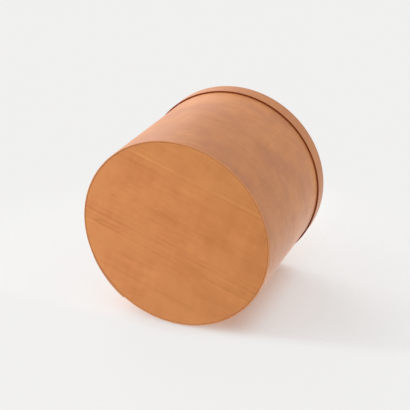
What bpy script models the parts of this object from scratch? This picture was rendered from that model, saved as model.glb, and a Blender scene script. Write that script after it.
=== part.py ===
"""A round bentwood pantry box with a lift-off lid, standing on its base.

Each side is one thin strip of cherry. It is cut and bored flat, steamed, bent round a form
and lapped over its own thinned end. Copper tacks clinch the laps, and wooden pegs driven
through the bands hold a flat board in the box and another in the lid.

Metres, +Z up, with the origin at the centre of the base. The laps face -Y.
"""

import math

import bmesh
import bpy
from mathutils import Euler, Matrix, Vector

# The box and its lid
BOX_RADIUS = 0.105  # outside of the bent side, clear of the lap
BOX_HEIGHT = 0.180  # from the table to the top of the lid
LID_RIM_HEIGHT = 0.019
BAND_THICKNESS = 0.0015
BOTTOM_THICKNESS = 0.0065
LID_BOARD_THICKNESS = 0.006
EDGE_EASE = 0.0003  # sanded corner on every band and board edge

# Fits between the pieces
SEAT_GAP = 0.0003  # round a board in its band, and under the lid on the rim
PIN_GAP = 0.0002  # round a tack or a peg in its hole, and under a tack's head
LAP_GAP = 0.00012  # between the two layers of a lap
LID_CLEARANCE = 0.0004  # lid band over side band
END_CLEARANCE = 0.0005  # the lid band's inner end, past the end of the side's outer layer
CUT_OVERRUN = 0.001  # how far a cutter reaches past what it cuts

# The lap of the side, measured round the box from its inner end
SKIVE_LENGTH = 0.048  # the inner end is planed thin over this length
SKIVE_TIP = 0.0003  # thickness left at the tip of the inner end
CLIMB_LENGTH = 0.009  # the outer layer bends out over this length before it meets the tip
FINGER_ROOT = 0.056  # from the tip of the inner end to the roots of the fingers
FINGER_LENGTH = 0.042
FINGER_TIP_WIDTH = 0.0065
FINGER_TIP_THICKNESS = 0.00095
FINGER_GAP_WIDTH = 0.0026  # between two fingers at their roots
FINGER_FOOT = 0.006  # from the bottom edge of the side to the first finger
FINGER_HEADROOM = 0.003  # from the last finger to the lid's lower edge
FINGER_BEVEL = math.radians(17)  # knife slant round the fingers
FINGER_COUNT = 4
FLANK_POWER = 1.75  # how late the flanks turn in to the tip

# The lap of the lid band, measured from its own inner end
LID_SKIVE_LENGTH = 0.028
LID_LAP_LENGTH = 0.038
LID_LAP_END_THICKNESS = 0.001

# Copper tacks, at the tip and the root of each finger and at the end of the lid's lap
TACK_HEAD_RADIUS = 0.0021
TACK_HEAD_HEIGHT = 0.00065
TACK_SHANK_RADIUS = 0.0006
TACK_CLINCH_RADIUS = 0.0012
TACK_CLINCH_DEPTH = 0.0004  # the turned-over point, sunk in the inside of the band
TACK_FROM_TIP = 0.0065
TACK_FROM_ROOT = 0.0045
LID_TACK_FROM_END = 0.0065
LID_TACK_HEIGHT_SHARES = (0.26, 0.58)  # up the lid's rim
TACK_HEAD_SHARES = ((0.0, 1.0), (0.5, 0.9), (0.86, 0.6), (1.0, 0.25), (0.94, 0.0))

# Wooden pegs through the bands into the boards
PEG_RADIUS = 0.001
PEG_DEPTH = 0.009  # reach into the board
PEG_COUNT = 12
PEG_FROM_ROOT = 0.007  # the first peg of the base, before the finger roots
LID_PEG_FROM_END = 0.008  # the first peg of the lid, before the end of its lap

# How finely the round forms are drawn
FACETS = 120
HOLE_SIDES = 10
TACK_SIDES = 14
FLANK_STEPS = 9
ROOT_ARC_STEPS = 4
SHARP_ANGLE = math.radians(35)
MERGE_DISTANCE = 0.00001
SLIVER_SHARE = 0.05  # of a facet: a strip's last facet is never thinner

# Colours and surfaces
SIDE_CHERRY = (0.50, 0.225, 0.105, 1)
BOARD_CHERRY = (0.56, 0.24, 0.085, 1)
PEG_WOOD = (0.42, 0.19, 0.08, 1)
COPPER = (0.72, 0.30, 0.17, 1)

TURN = 2 * math.pi * BOX_RADIUS
INNER_RADIUS = BOX_RADIUS - BAND_THICKNESS
LAP_LENGTH = FINGER_ROOT + FINGER_LENGTH
LAP_START_ANGLE = -math.pi / 2 + LAP_LENGTH / BOX_RADIUS / 2
LID_EDGE_HEIGHT = BOX_HEIGHT - LID_RIM_HEIGHT
SIDE_HEIGHT = BOX_HEIGHT - LID_BOARD_THICKNESS - SEAT_GAP
LID_START = FINGER_ROOT + END_CLEARANCE
LID_STACK_RADIUS = BOX_RADIUS + LID_CLEARANCE


def angle_at(run):
    """The direction round the box of a distance from the tip of the side's inner end."""
    return LAP_START_ANGLE - run / BOX_RADIUS


def side_thickness(run):
    """The side band is planed thin at its inner end and again towards the finger tips."""
    skive = min(run / SKIVE_LENGTH, 1)
    taper = max(run - TURN, 0) / LAP_LENGTH
    return min(
        SKIVE_TIP + (BAND_THICKNESS - SKIVE_TIP) * skive,
        BAND_THICKNESS - (BAND_THICKNESS - FINGER_TIP_THICKNESS) * taper,
    )


def side_inner_radius(run):
    """One round turn, and then the outer layer riding on the inner end."""
    if run >= TURN:
        return INNER_RADIUS + side_thickness(run - TURN) + LAP_GAP
    climb = max(run - TURN + CLIMB_LENGTH, 0) / CLIMB_LENGTH
    return INNER_RADIUS + (SKIVE_TIP + LAP_GAP) * climb * climb


def side_outer_radius(run):
    return side_inner_radius(run) + side_thickness(run)


def lid_thickness(run):
    skive = min(run / LID_SKIVE_LENGTH, 1)
    taper = max(run - TURN, 0) / LID_LAP_LENGTH
    return min(
        SKIVE_TIP + (BAND_THICKNESS - SKIVE_TIP) * skive,
        BAND_THICKNESS - (BAND_THICKNESS - LID_LAP_END_THICKNESS) * taper,
    )


def lid_inner_radius(run):
    """The lid band follows the outside of the box, lap and all, and then laps itself."""
    past_step = run - (TURN - END_CLEARANCE)
    on_step = side_outer_radius(TURN + FINGER_ROOT) + LID_CLEARANCE
    if past_step >= 0:
        stack = LID_STACK_RADIUS + BAND_THICKNESS + LAP_GAP
        ease = min(past_step / LID_SKIVE_LENGTH, 1)
        needed = LID_STACK_RADIUS + lid_thickness(max(run - TURN, 0)) + LAP_GAP
        return max(needed, on_step + (stack - on_step) * ease)
    return side_outer_radius(run + LID_START) + LID_CLEARANCE


def lid_outer_radius(run):
    return lid_inner_radius(run) + lid_thickness(run)


def collection_object(name, mesh):
    obj = bpy.data.objects.new(name, mesh)
    bpy.context.scene.collection.objects.link(obj)
    return obj


def helper_object(name, mesh):
    """A cutter: shown as wires, and not part of the box."""
    obj = collection_object(name, mesh)
    obj.hide_render = True
    obj.display_type = "WIRE"
    return obj


def finished(obj, material, parent):
    mesh = obj.data
    mesh.shade_smooth()
    mesh.set_sharp_from_angle(angle=SHARP_ANGLE)
    if not mesh.materials:
        mesh.materials.append(material)
    obj.parent = parent
    return obj


def principled(name, colour, roughness, metallic=0):
    material = bpy.data.materials.new(name)
    material.use_nodes = True
    shader = material.node_tree.nodes["Principled BSDF"]
    shader.inputs["Base Color"].default_value = colour
    shader.inputs["Roughness"].default_value = roughness
    shader.inputs["Metallic"].default_value = metallic
    material.diffuse_color = colour
    return material


def loft(name, rings):
    """A closed solid through rings of matching points, with a cap on each end."""
    bm = bmesh.new()
    loops = [[bm.verts.new(point) for point in ring] for ring in rings]
    for lower, upper in zip(loops, loops[1:]):
        for i, vert in enumerate(lower):
            after = (i + 1) % len(lower)
            bm.faces.new((vert, lower[after], upper[after], upper[i]))
    bm.faces.new(loops[0])
    bm.faces.new(loops[-1])
    bmesh.ops.recalc_face_normals(bm, faces=bm.faces)
    mesh = bpy.data.meshes.new(name)
    bm.to_mesh(mesh)
    bm.free()
    return mesh


def turned(name, profile, sides):
    """A solid of revolution about Z from (radius, height) points, axis to axis."""
    bm = bmesh.new()
    verts = [bm.verts.new((radius, 0, height)) for radius, height in profile]
    edges = [bm.edges.new(pair) for pair in zip(verts, verts[1:])]
    bmesh.ops.spin(
        bm, geom=verts + edges, cent=(0, 0, 0), axis=(0, 0, 1), angle=2 * math.pi, steps=sides
    )
    bmesh.ops.remove_doubles(bm, verts=bm.verts, dist=MERGE_DISTANCE)
    bmesh.ops.recalc_face_normals(bm, faces=bm.faces)
    mesh = bpy.data.meshes.new(name)
    bm.to_mesh(mesh)
    bm.free()
    return mesh


def joined(name, meshes):
    """One mesh that holds several separate cutters."""
    bm = bmesh.new()
    for mesh in meshes:
        bm.from_mesh(mesh)
    whole = bpy.data.meshes.new(name)
    bm.to_mesh(whole)
    bm.free()
    return whole


def pin_cutter(run, height, stages):
    """A round cutter across a flat blank, from (radius, depth) stages out from its inside."""
    sides = [2 * math.pi * i / HOLE_SIDES for i in range(HOLE_SIDES)]
    rings = [
        [(run + radius * math.cos(a), depth, height + radius * math.sin(a)) for a in sides]
        for radius, depth in stages
    ]
    return loft("pin_cutter", rings)


def plain_hole(run, height, radius):
    stages = ((radius, -CUT_OVERRUN), (radius, BAND_THICKNESS + CUT_OVERRUN))
    return pin_cutter(run, height, stages)


def tack_holes(run, height):
    """The two holes of one tack. The one in the inner layer has a sink for the clinch."""
    shank = TACK_SHANK_RADIUS + PIN_GAP
    clinch = TACK_CLINCH_RADIUS + PIN_GAP
    sink = TACK_CLINCH_DEPTH + PIN_GAP
    through = BAND_THICKNESS + CUT_OVERRUN
    stages = ((clinch, -CUT_OVERRUN), (clinch, sink), (shank, sink), (shank, through))
    return [pin_cutter(run, height, stages), plain_hole(run + TURN, height, shank)]


def peg_holes(runs, height, lap_end):
    """A peg hole at each place, and a second one where the outer layer lies over it."""
    radius = PEG_RADIUS + PIN_GAP
    holes = [plain_hole(run, height, radius) for run in runs]
    return holes + [plain_hole(run + TURN, height, radius) for run in runs if run < lap_end]


def flank_width(reach):
    """Half the gap between two fingers, at a distance out from their roots."""
    tip = (finger_pitch() - FINGER_TIP_WIDTH) / 2
    root = FINGER_GAP_WIDTH / 2
    return root + (tip - root) * (reach / FINGER_LENGTH) ** FLANK_POWER


def finger_pitch():
    return (LID_EDGE_HEIGHT - FINGER_HEADROOM - FINGER_FOOT) / FINGER_COUNT


def gap_outline(number, depth):
    """The (run, height) outline of one gap beside the fingers, at a depth in the blank."""
    slant = depth * math.tan(FINGER_BEVEL)
    middle = FINGER_FOOT + number * finger_pitch()
    root = TURN + FINGER_ROOT
    reaches = [FINGER_LENGTH * step / FLANK_STEPS for step in range(FLANK_STEPS + 1)]
    flank = [(root + reach, flank_width(reach) + slant) for reach in reaches]
    flank.append((root + FINGER_LENGTH + CUT_OVERRUN, flank_width(FINGER_LENGTH) + slant))
    lower = [(run, middle - width) for run, width in reversed(flank)]
    upper = [(run, middle + width) for run, width in flank]
    if number == 0:
        far = lower[0][0]
        corner = (root - slant, upper[0][1])
        return [(far, -CUT_OVERRUN), (root - slant, -CUT_OVERRUN), corner] + upper[1:]
    if number == FINGER_COUNT:
        far = upper[-1][0]
        top = SIDE_HEIGHT + CUT_OVERRUN
        corner = (root - slant, lower[-1][1])
        return lower[:-1] + [corner, (root - slant, top), (far, top)]
    radius = flank_width(0) + slant
    turns = [math.pi * step / ROOT_ARC_STEPS for step in range(1, ROOT_ARC_STEPS)]
    arc = [(root - radius * math.sin(a), middle - radius * math.cos(a)) for a in turns]
    return lower + arc + upper


def finger_gaps():
    """The cuts that shape the end of the strip into swallowtail fingers."""
    gaps = []
    for number in range(FINGER_COUNT + 1):
        rings = [
            [(run, depth, height) for run, height in gap_outline(number, depth)]
            for depth in (-CUT_OVERRUN, BAND_THICKNESS + CUT_OVERRUN)
        ]
        gaps.append(loft("finger_gap", rings))
    return gaps


def flat_blank(name, length, height):
    """The strip before it is bent: run on X, depth from its inside on Y, height on Z."""
    step = TURN / FACETS
    runs = [step * i for i in range(math.ceil(length / step - SLIVER_SHARE))] + [length]
    outer = BAND_THICKNESS
    corners = (
        (0, EDGE_EASE),
        (EDGE_EASE, 0),
        (outer - EDGE_EASE, 0),
        (outer, EDGE_EASE),
        (outer, height - EDGE_EASE),
        (outer - EDGE_EASE, height),
        (EDGE_EASE, height),
        (0, height - EDGE_EASE),
    )
    rings = [[(run, depth, z) for depth, z in corners] for run in runs]
    slope = math.tan(FINGER_BEVEL)
    rings[-1] = [(length - depth * slope, depth, z) for depth, z in corners]
    return loft(name, rings)


def bent_band(name, length, height, cutters, shape):
    """Cuts a flat blank and bends it. shape gives its inner radius, thickness and angle."""
    blank = helper_object(name + "_blank", flat_blank(name + "_blank", length, height))
    cutter = helper_object(name + "_cutter", joined(name + "_cutter", cutters))
    cut = blank.modifiers.new("cuts", "BOOLEAN")
    cut.operation = "DIFFERENCE"
    cut.solver = "EXACT"
    cut.object = cutter
    bpy.context.view_layer.update()
    graph = bpy.context.evaluated_depsgraph_get()
    mesh = bpy.data.meshes.new_from_object(blank.evaluated_get(graph))
    mesh.name = name
    bpy.data.objects.remove(blank)
    bpy.data.objects.remove(cutter)
    inner_radius, thickness, angle = shape
    for vertex in mesh.vertices:
        run, depth, height_here = vertex.co
        radius = inner_radius(run) + thickness(run) * depth / BAND_THICKNESS
        turn = angle(run)
        vertex.co = (radius * math.cos(turn), radius * math.sin(turn), height_here)
    mesh.update()
    return collection_object(name, mesh)


def board(name, outline, foot, thickness):
    """A flat board with eased corners, from (angle, radius) points round its edge."""
    levels = (
        (foot, EDGE_EASE),
        (foot + EDGE_EASE, 0),
        (foot + thickness - EDGE_EASE, 0),
        (foot + thickness, EDGE_EASE),
    )
    rings = [
        [((r - inset) * math.cos(a), (r - inset) * math.sin(a), z) for a, r in outline]
        for z, inset in levels
    ]
    return collection_object(name, loft(name, rings))


def radial_place(angle, radius, height):
    """The matrix that turns a pin's Z axis out from the middle of the box and places it."""
    place = Vector((radius * math.cos(angle), radius * math.sin(angle), height))
    return Matrix.Translation(place) @ Euler((0, math.pi / 2, angle)).to_matrix().to_4x4()


def bore_board(target, places, height, parent):
    """Blind holes in the edge of a board, one for each peg's (angle, board radius)."""
    radius = PEG_RADIUS + PIN_GAP
    depth = PEG_DEPTH + PIN_GAP
    cutters = []
    for angle, edge in places:
        profile = ((0, CUT_OVERRUN), (radius, CUT_OVERRUN), (radius, -depth), (0, -depth))
        mesh = turned("peg_cutter", profile, HOLE_SIDES)
        mesh.transform(radial_place(angle, edge, height))
        cutters.append(mesh)
    cutter = helper_object(target.name + "_cutter", joined(target.name + "_cutter", cutters))
    cutter.parent = parent
    cut = target.modifiers.new("peg_holes", "BOOLEAN")
    cut.operation = "DIFFERENCE"
    cut.solver = "EXACT"
    cut.object = cutter


def peg(name, angle, edge, outside, height):
    """One peg, from its depth in the board out to flush with the band."""
    length = PEG_DEPTH + outside - edge
    profile = (
        (0, 0),
        (PEG_RADIUS - EDGE_EASE, 0),
        (PEG_RADIUS, -EDGE_EASE),
        (PEG_RADIUS, -length),
        (0, -length),
    )
    pin = collection_object(name, turned(name, profile, HOLE_SIDES))
    pin.matrix_basis = radial_place(angle, outside, height)
    return pin


def tack(name, angle, inside, outside, height):
    """One copper tack: a domed head, a shank through the lap and a clinched point."""
    seat = outside + PIN_GAP
    grip = seat - inside
    head = [(TACK_HEAD_RADIUS * r, TACK_HEAD_HEIGHT * z) for r, z in TACK_HEAD_SHARES]
    point = [
        (TACK_SHANK_RADIUS, 0),
        (TACK_SHANK_RADIUS, TACK_CLINCH_DEPTH - grip),
        (TACK_CLINCH_RADIUS, TACK_CLINCH_DEPTH - grip),
        (TACK_CLINCH_RADIUS, -grip),
        (0, -grip),
    ]
    pin = collection_object(name, turned(name, head + point, TACK_SIDES))
    pin.matrix_basis = radial_place(angle, seat, height)
    return pin


def even_places(first, count):
    """Distances round the box, evenly spaced, each within one turn of the inner tip."""
    return [(first + TURN * i / count) % TURN for i in range(count)]


def make_box(box, cherry, board_wood, peg_wood, copper):
    """The side, its bottom board, and the tacks and pegs that hold them."""
    fingers = [FINGER_FOOT + finger_pitch() * (i + 0.5) for i in range(FINGER_COUNT)]
    tack_runs = (FINGER_ROOT + TACK_FROM_ROOT, LAP_LENGTH - TACK_FROM_TIP)
    tack_places = [(run, height) for run in tack_runs for height in fingers]
    peg_runs = even_places(FINGER_ROOT - PEG_FROM_ROOT, PEG_COUNT)
    peg_height = BOTTOM_THICKNESS / 2
    cutters = finger_gaps() + peg_holes(peg_runs, peg_height, FINGER_ROOT)
    for run, height in tack_places:
        cutters += tack_holes(run, height)
    shape = (side_inner_radius, side_thickness, angle_at)
    side = bent_band("side_band", TURN + LAP_LENGTH, SIDE_HEIGHT, cutters, shape)
    finished(side, cherry, box)

    edge = INNER_RADIUS - SEAT_GAP
    outline = [(angle_at(TURN * i / FACETS), edge) for i in range(FACETS)]
    bottom = finished(board("bottom_board", outline, 0, BOTTOM_THICKNESS), board_wood, box)
    bore_board(bottom, [(angle_at(run), edge) for run in peg_runs], peg_height, box)

    for number, run in enumerate(peg_runs, 1):
        layer = run + TURN if run < FINGER_ROOT else run
        name = f"bottom_peg_{number:02d}"
        pin = peg(name, angle_at(run), edge, side_outer_radius(layer), peg_height)
        finished(pin, peg_wood, box)
    for number, (run, height) in enumerate(tack_places, 1):
        outside = side_outer_radius(run + TURN)
        pin = tack(f"side_tack_{number}", angle_at(run), INNER_RADIUS, outside, height)
        finished(pin, copper, box)


def make_lid(lid, cherry, board_wood, peg_wood, copper):
    """The lid's band and board, with heights measured up from its lower edge."""

    def lid_angle(run):
        return angle_at(run + LID_START)

    tack_run = LID_LAP_LENGTH - LID_TACK_FROM_END
    tack_heights = [LID_RIM_HEIGHT * share for share in LID_TACK_HEIGHT_SHARES]
    peg_runs = even_places(LID_LAP_LENGTH - LID_PEG_FROM_END, PEG_COUNT)
    peg_height = LID_RIM_HEIGHT - LID_BOARD_THICKNESS / 2
    cutters = peg_holes(peg_runs, peg_height, LID_LAP_LENGTH)
    for height in tack_heights:
        cutters += tack_holes(tack_run, height)
    shape = (lid_inner_radius, lid_thickness, lid_angle)
    band = bent_band("lid_band", TURN + LID_LAP_LENGTH, LID_RIM_HEIGHT, cutters, shape)
    finished(band, cherry, lid)

    runs = [TURN * i / FACETS for i in range(FACETS)] + [TURN - 2 * END_CLEARANCE]
    outline = [(lid_angle(run), lid_inner_radius(run) - SEAT_GAP) for run in runs]
    board_foot = LID_RIM_HEIGHT - LID_BOARD_THICKNESS
    top = finished(board("lid_board", outline, board_foot, LID_BOARD_THICKNESS), board_wood, lid)
    edges = [lid_inner_radius(run) - SEAT_GAP for run in peg_runs]
    places = [(lid_angle(run), edge) for run, edge in zip(peg_runs, edges)]
    bore_board(top, places, peg_height, lid)

    for number, (run, edge) in enumerate(zip(peg_runs, edges), 1):
        layer = run + TURN if run < LID_LAP_LENGTH else run
        name = f"lid_peg_{number:02d}"
        pin = peg(name, lid_angle(run), edge, lid_outer_radius(layer), peg_height)
        finished(pin, peg_wood, lid)
    for number, height in enumerate(tack_heights, 1):
        outside = lid_outer_radius(tack_run + TURN)
        inside = lid_inner_radius(tack_run)
        pin = tack(f"lid_tack_{number}", lid_angle(tack_run), inside, outside, height)
        finished(pin, copper, lid)


def main():
    for obj in list(bpy.data.objects):
        bpy.data.objects.remove(obj)
    finishes = (
        principled("side_cherry", SIDE_CHERRY, 0.45),
        principled("board_cherry", BOARD_CHERRY, 0.45),
        principled("peg_wood", PEG_WOOD, 0.55),
        principled("copper", COPPER, 0.35, metallic=1),
    )
    box = collection_object("box", None)
    lid = collection_object("lid", None)
    lid.location.z = LID_EDGE_HEIGHT
    make_box(box, *finishes)
    make_lid(lid, *finishes)


main()
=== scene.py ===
import math

import bmesh
import bpy
from mathutils import Euler, Matrix, Vector


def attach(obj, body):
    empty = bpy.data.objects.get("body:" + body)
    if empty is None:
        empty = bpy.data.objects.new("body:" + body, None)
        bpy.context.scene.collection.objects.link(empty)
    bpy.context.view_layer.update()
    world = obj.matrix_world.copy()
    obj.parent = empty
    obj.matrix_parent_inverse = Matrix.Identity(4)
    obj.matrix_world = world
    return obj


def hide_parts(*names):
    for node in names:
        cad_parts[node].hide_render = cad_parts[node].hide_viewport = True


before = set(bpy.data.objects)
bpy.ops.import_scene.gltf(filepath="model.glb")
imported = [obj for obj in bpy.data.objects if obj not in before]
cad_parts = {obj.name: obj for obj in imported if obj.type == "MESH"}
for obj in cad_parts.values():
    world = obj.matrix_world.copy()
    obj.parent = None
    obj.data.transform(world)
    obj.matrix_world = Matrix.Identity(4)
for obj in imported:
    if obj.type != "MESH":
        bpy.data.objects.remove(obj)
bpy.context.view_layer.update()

# The side. One strip of cherry is planed thin at its inner end, cut flat into four swallowtail
# fingers at its outer end and sanded. Then it is steamed, bent round and lapped over itself.
# Oiled, it is a warm pinkish brown with a soft sheen, clouded where the grain curls.
SIDE_RADIUS = 0.105  # outside of the bent side, clear of the lap
SIDE_HEIGHT = 0.1737
STRIP_THICKNESS = 0.0015
SANDED_EDGE = 0.0003
SKIVE_LENGTH = 0.048
SKIVE_TIP = 0.0003
CLIMB_LENGTH = 0.009  # the outer layer bends out over this length before it meets the tip
LAP_GAP = 0.00012
FINGER_ROOT = 0.056  # from the tip of the inner end to the roots of the fingers
FINGER_LENGTH = 0.042
FINGER_TIP_WIDTH = 0.0065
FINGER_TIP_THICKNESS = 0.00095
FINGER_GAP = 0.0026
ROOT_ROUNDING = 0.48 * FINGER_GAP  # what the knife leaves between the roots of two fingers
FINGER_FOOT = 0.006
FINGER_PITCH = 0.038
FINGER_COUNT = 4
FINGER_MIDDLES = [FINGER_FOOT + FINGER_PITCH * (i + 0.5) for i in range(FINGER_COUNT)]
FINGER_SLANT = math.tan(math.radians(17))
FLANK_POWER = 1.75
FLANK_STEP = 0.002
TACK_SHANK_RADIUS = 0.0006
TACK_CLINCH_RADIUS = 0.0012
TACK_FROM_ROOT = 0.0045
TACK_FROM_TIP = 0.0065
SINK_DEPTH = 0.0004
PEG_RADIUS = 0.001
PEG_COUNT = 12
PEG_HEIGHT = 0.00325
PEG_BEFORE_ROOT = 0.007  # the first peg stands this far from the fingers' roots
HOLE_FIT = 0.00004
HOLE_ROW = 0.0016  # a row of edges this far each side of the holes keeps the rest smooth
PIN_SIDES = 20  # sides of a tack or a peg, and of its hole
RULED_EDGE = 0.1  # a longer edge of the flat strip is divided, so that it can bend
SIDE_RULING = (17, 22)  # cuts in each such edge, and then in each part of it
SHARP_ANGLE = math.radians(40)  # the sandpaper rounds an edge that is sharper than this
SMOOTH_ANGLE = math.radians(28)  # the surface shades smooth across an edge flatter than this
NEAR = 0.00002  # how close a place has to be to count as the same
TURN = 2 * math.pi * SIDE_RADIUS
SIDE_INNER_RADIUS = SIDE_RADIUS - STRIP_THICKNESS
LAP_LENGTH = FINGER_ROOT + FINGER_LENGTH
LAP_START_ANGLE = -math.pi / 2 + LAP_LENGTH / SIDE_RADIUS / 2

SIDE_PALE = (0.710, 0.290, 0.103, 1)
SIDE_DEEP = (0.540, 0.193, 0.064, 1)
SIDE_TINT = (0.550, 0.208, 0.094, 1)  # the rose brown of some of its clouds
# The dark of gum, pores and oiled edges, and painted shade along the lid's lower edge.
SIDE_DARK = (0.250, 0.042, 0.005, 1)
# Painted light: the wood is painted paler up the side towards the lid, between these two
# heights, which lifts the shade under the lid's edge.
SIDE_PAINTED_LIGHT = ((0.800, 0.330, 0.113, 1), (0.620, 0.226, 0.072, 1))
PAINTED_LIGHT_FROM = 0.045
PAINTED_LIGHT_TO = 0.165
EDGE_PAINTED_LIGHT = (0.860, 0.400, 0.180, 1)  # the lower edge, painted paler: painted light against the joint's shade
EDGE_PAINTED_LIGHT_SHARE = 0.25
EDGE_MARK_WIDTH = 0.0006  # how far an edge's dark oil and painted shade, or its painted light, reach
OILED_SHARE = 0.3
OIL_SHEEN = 0.36
SIDE_FROM = (0.3, 0.1, 0.2)  # the place in the log that the strip comes from
RIPPLE_WAVES = (650, 18, 18)  # fine ripples a metre along, across and into a bent strip

# Each figure of the cherry: its waves a metre along the grain, across it and into the wood, how
# much finer detail it has, and how strongly it darkens the colour.
CHERRY_FIGURES = {
    "tone": ((3, 42, 40), 2, 0.3),
    "cloud": ((24, 36, 30), 2, 1.1),
    "curl": ((110, 30, 20), 1, 0.5),
    "fleck": ((75, 300, 200), 2, 0.5),
    "fibre": ((20, 430, 220), 3, 0.4),
    "growth": ((1.5, 150, 60), 2, 0.15),
}
# Pores, gum and tint each show where their own figure passes between two values.
PORE_WAVES = (240, 2500, 1300)
PORES_SHOW = (0.58, 0.72)
PORE_DARKNESS = 0.12
GUM_WAVES = (75, 560, 320)
GUM_SHOWS = (0.76, 0.84)
GUM_DARKNESS = 0.4
TINT_WAVES = (17, 26, 22)
TINT_SHOWS = (0.45, 0.66)
TINT_SHARE = 0.55
WANDER_WAVES = (6, 14, 14)
WANDER = 0.012  # how far the grain wanders to its side
SEASONS = 290  # growth lines a metre across the grain
SEASON_WAVER = 7  # by how many lines their course wavers
LATE_WOOD_POWER = 5  # the higher it is, the narrower is the dark end of each line
LATE_WOOD_SHADE = 0.05
MIDDLE_SHADE = 0.48
OILED_ROUGHNESS = 0.34
FIBRE_ROUGHNESS = 0.16
PORE_ROUGHNESS = 0.08
CURL_RISE = 0.6  # against that of the fibre, which is 1
LATE_WOOD_RISE = -0.2
PORE_RISE = -0.5
GRAIN_RELIEF = 0.00008


def angle_at(run):
    """The direction round the box of a distance from the tip of the side's inner end."""
    return LAP_START_ANGLE - run / SIDE_RADIUS


def side_thickness(run):
    skive = min(run / SKIVE_LENGTH, 1)
    taper = max(run - TURN, 0) / LAP_LENGTH
    return min(
        SKIVE_TIP + (STRIP_THICKNESS - SKIVE_TIP) * skive,
        STRIP_THICKNESS - (STRIP_THICKNESS - FINGER_TIP_THICKNESS) * taper,
    )


def side_inner_radius(run):
    """One round turn, and then the outer layer riding on the inner end."""
    if run >= TURN:
        return SIDE_INNER_RADIUS + side_thickness(run - TURN) + LAP_GAP
    climb = max(run - TURN + CLIMB_LENGTH, 0) / CLIMB_LENGTH
    return SIDE_INNER_RADIUS + (SKIVE_TIP + LAP_GAP) * climb * climb


def side_outer_radius(run):
    return side_inner_radius(run) + side_thickness(run)


def finger_half_width(reach):
    """Half of one finger's width on the inside of the strip, at a distance from its root."""
    gap_at_tip = (FINGER_PITCH - FINGER_TIP_WIDTH) / 2
    turned_in = (gap_at_tip - FINGER_GAP / 2) * (max(reach, 0) / FINGER_LENGTH) ** FLANK_POWER
    return FINGER_PITCH / 2 - FINGER_GAP / 2 - turned_in


def select_only(piece, kind, wanted):
    """In edit mode, selects just the vertices, edges or faces that a test picks."""
    bpy.ops.mesh.select_mode(type=kind)
    bpy.ops.mesh.select_all(action="DESELECT")
    bm = bmesh.from_edit_mesh(piece.data)
    for element in {"VERT": bm.verts, "EDGE": bm.edges, "FACE": bm.faces}[kind]:
        if wanted(element):
            element.select_set(True)
    bmesh.update_edit_mesh(piece.data)


def edge_run(edge):
    """How far an edge goes along the strip, through it and across it."""
    return [abs(b - a) for a, b in zip(edge.verts[0].co, edge.verts[1].co)]


def name_piece(name):
    """Names the primitive just added and moves its place into its mesh."""
    bpy.ops.object.transform_apply(location=True, rotation=True, scale=True)
    piece = bpy.context.object
    piece.name = piece.data.name = name
    return piece


def saw_strip(name, length, height):
    """A flat strip in edit mode: its length on X, its thickness on Y and its height on Z."""
    bpy.ops.object.select_all(action="DESELECT")
    size = (length, STRIP_THICKNESS, height)
    bpy.ops.mesh.primitive_cube_add(size=1, location=[s / 2 for s in size], scale=size)
    strip = name_piece(name)
    bpy.ops.object.mode_set(mode="EDIT")
    return strip


def sand_edges(ease):
    """Rounds every sharp edge, as sandpaper does."""
    bpy.ops.mesh.select_mode(type="EDGE")
    bpy.ops.mesh.select_all(action="DESELECT")
    bpy.ops.mesh.edges_select_sharp(sharpness=SHARP_ANGLE)
    bpy.ops.mesh.bevel(offset=ease, segments=2, affect="EDGES")


def rule_across(strip, cuts):
    """Divides the strip's long edges evenly, so that it can bend."""
    reach = RULED_EDGE
    for number in cuts:
        select_only(strip, "EDGE", lambda edge: edge_run(edge)[0] > reach)
        bpy.ops.mesh.subdivide(number_cuts=number)
        reach /= number


def rule_beside_holes(heights):
    """Runs a row of edges above and below each row of holes."""
    for middle in heights:
        for row in (middle - HOLE_ROW, middle + HOLE_ROW):
            bpy.ops.mesh.select_all(action="SELECT")
            bpy.ops.mesh.bisect(plane_co=(0, 0, row), plane_no=(0, 0, 1))


def cut_away(piece, cutter):
    cut = piece.modifiers.new("cut", "BOOLEAN")
    cut.operation = "DIFFERENCE"
    cut.solver = "EXACT"
    cut.object = cutter
    bpy.ops.object.select_all(action="DESELECT")
    bpy.context.view_layer.objects.active = piece
    piece.select_set(True)
    bpy.ops.object.modifier_apply(modifier=cut.name)
    bpy.data.objects.remove(cutter)


def join_bits(bits):
    for bit in bits:
        bit.select_set(True)
    bpy.ops.object.join()
    return bpy.context.object


def drill(strip, holes):
    """Round holes through a flat strip, from (run, height, radius, radius of its sink) each."""
    bits = []
    for run, height, radius, sink_radius in holes:
        foot = SINK_DEPTH if sink_radius else -STRIP_THICKNESS
        depth = 2 * STRIP_THICKNESS - foot
        bpy.ops.object.select_all(action="DESELECT")
        bpy.ops.mesh.primitive_cylinder_add(
            vertices=PIN_SIDES,
            radius=radius,
            depth=depth,
            location=(run, foot + depth / 2, height),
            rotation=(math.pi / 2, 0, 0),
        )
        bit = name_piece("bit")
        if sink_radius:
            bpy.ops.object.mode_set(mode="EDIT")
            select_only(bit, "FACE", lambda f: f.normal.y < -0.5)
            bpy.ops.mesh.extrude_region_move()
            wider = sink_radius / radius
            bpy.ops.transform.resize(
                value=(wider, 1, wider), center_override=(run, foot, height)
            )
            down = (0, -foot - STRIP_THICKNESS, 0)
            bpy.ops.mesh.extrude_region_move(TRANSFORM_OT_translate={"value": down})
            bpy.ops.object.mode_set(mode="OBJECT")
        bits.append(bit)
    cut_away(strip, join_bits(bits))


def keep_flat_place(piece, axes=(0, 1, 2)):
    """Keeps where each point lies before the piece is bent or driven, for its material."""
    flat = piece.data.attributes.new("flat_place", "FLOAT_VECTOR", "POINT")
    for place, vertex in zip(flat.data, piece.data.vertices):
        place.vector = [vertex.co[axis] for axis in axes]


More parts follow.
